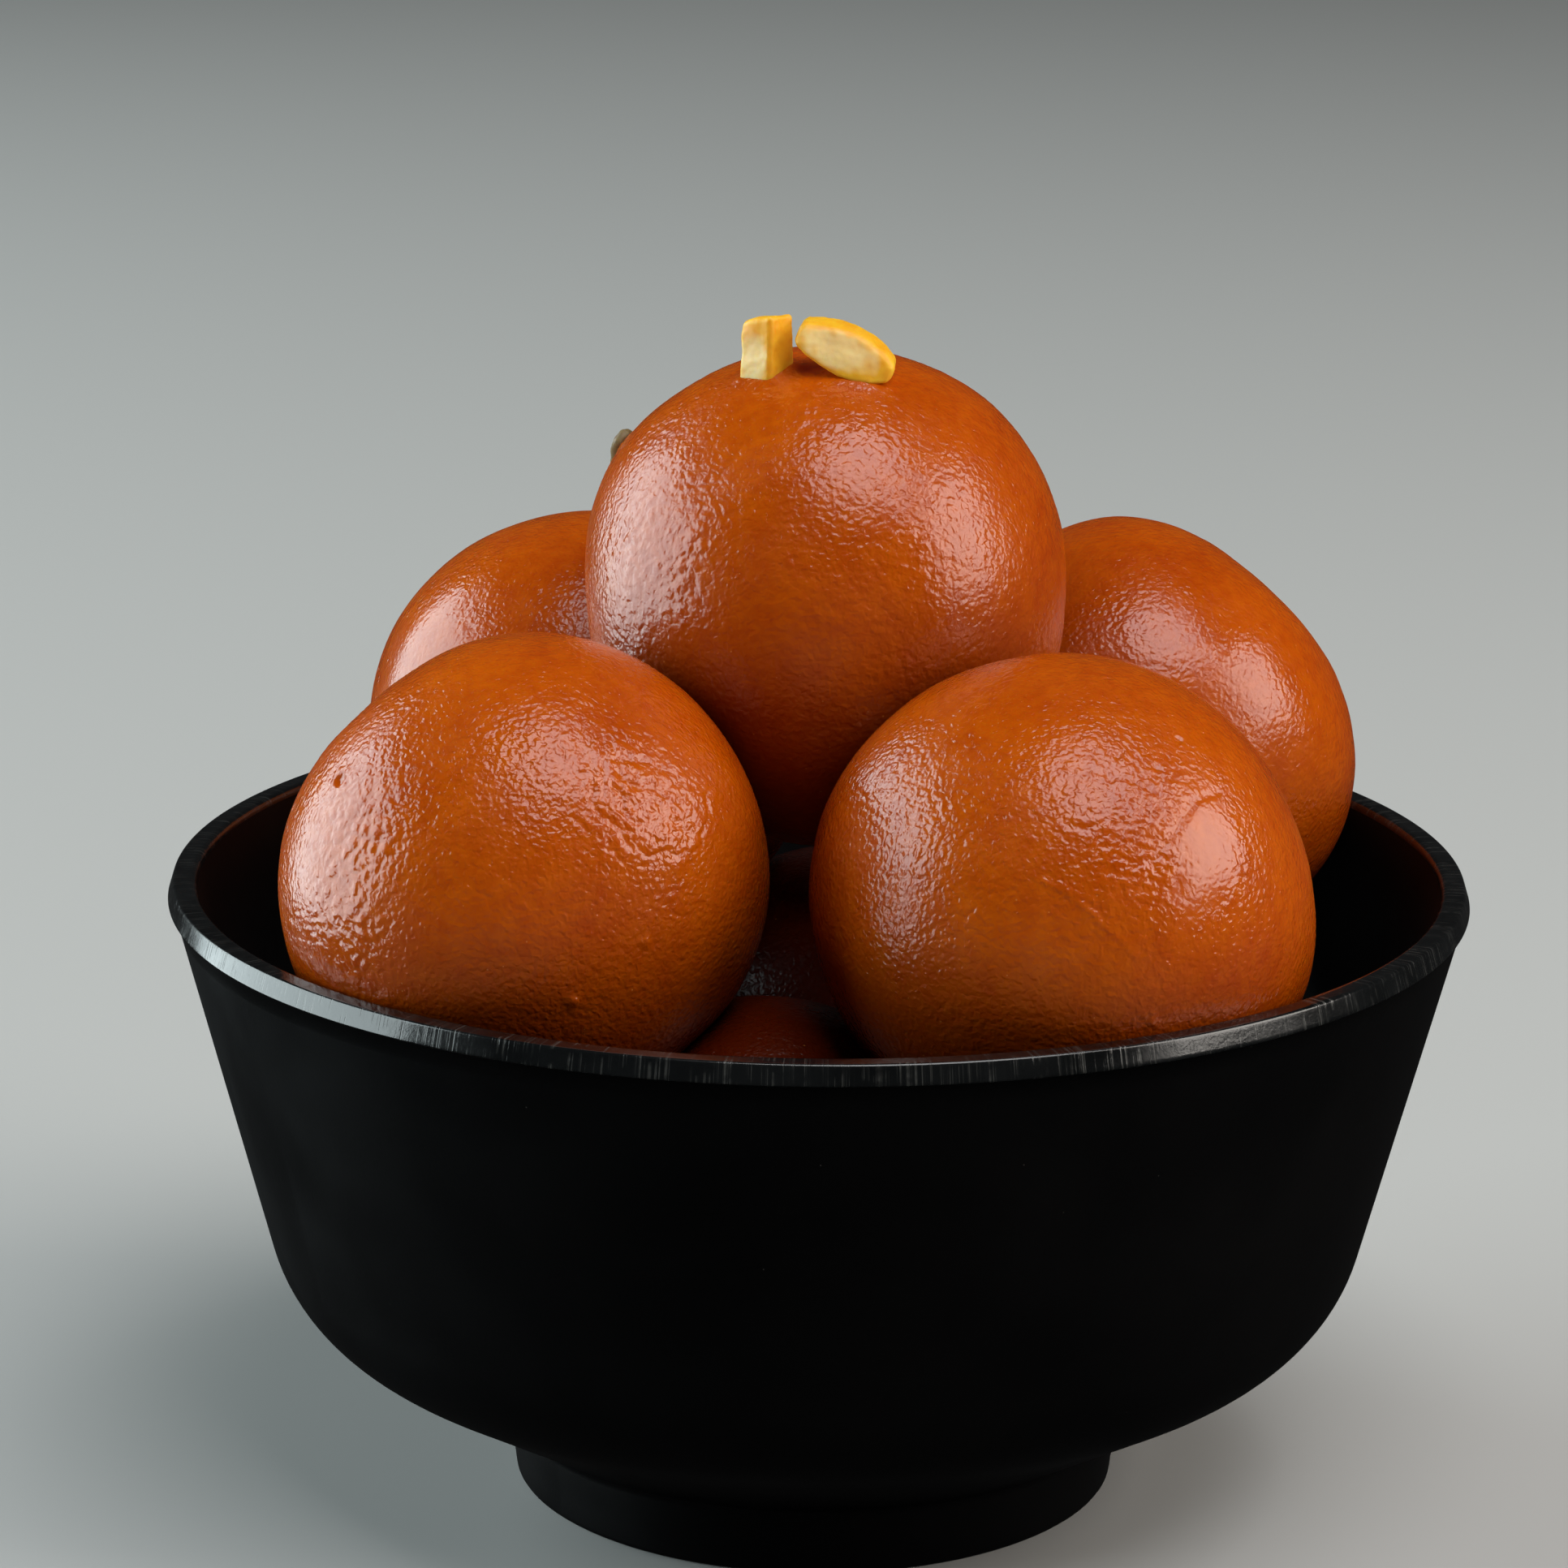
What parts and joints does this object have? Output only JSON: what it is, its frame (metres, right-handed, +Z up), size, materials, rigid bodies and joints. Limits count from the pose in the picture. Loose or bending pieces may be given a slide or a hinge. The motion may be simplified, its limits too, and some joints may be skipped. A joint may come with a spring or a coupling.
{
  "type": "gulab jamun in bowl",
  "caption": "Footed round black bowl filled to a pile of round syrup-soaked dough balls, the top one with slivers of almond and pistachio.",
  "frame": {"origin": "centre of the bowl's foot, on the surface it stands on", "axes": "+Z up, +X to the right of a viewer at the front, +Y away from the front"},
  "size_m": [0.115, 0.115, 0.1072],
  "materials": {
    "bowl_black": "satin black glaze",
    "jamun_skin": "deep brown fried dough, wet with syrup",
    "saffron_almond": "cut almond, stained yellow",
    "pistachio": "cut pistachio, pale green"
  },
  "bodies": {
    "root": {"bowl": "bowl_black", "jamun_top": "jamun_skin", "jamun_front_left": "jamun_skin", "jamun_front_right": "jamun_skin", "jamun_back_left": "jamun_skin", "jamun_back_right": "jamun_skin", "jamun_low_front": "jamun_skin", "jamun_low_back": "jamun_skin", "jamun_low_left": "jamun_skin", "jamun_low_right": "jamun_skin", "almond_stub": "saffron_almond", "almond_slice": "saffron_almond", "pistachio_chip": "pistachio"}
  },
  "joints": []
}
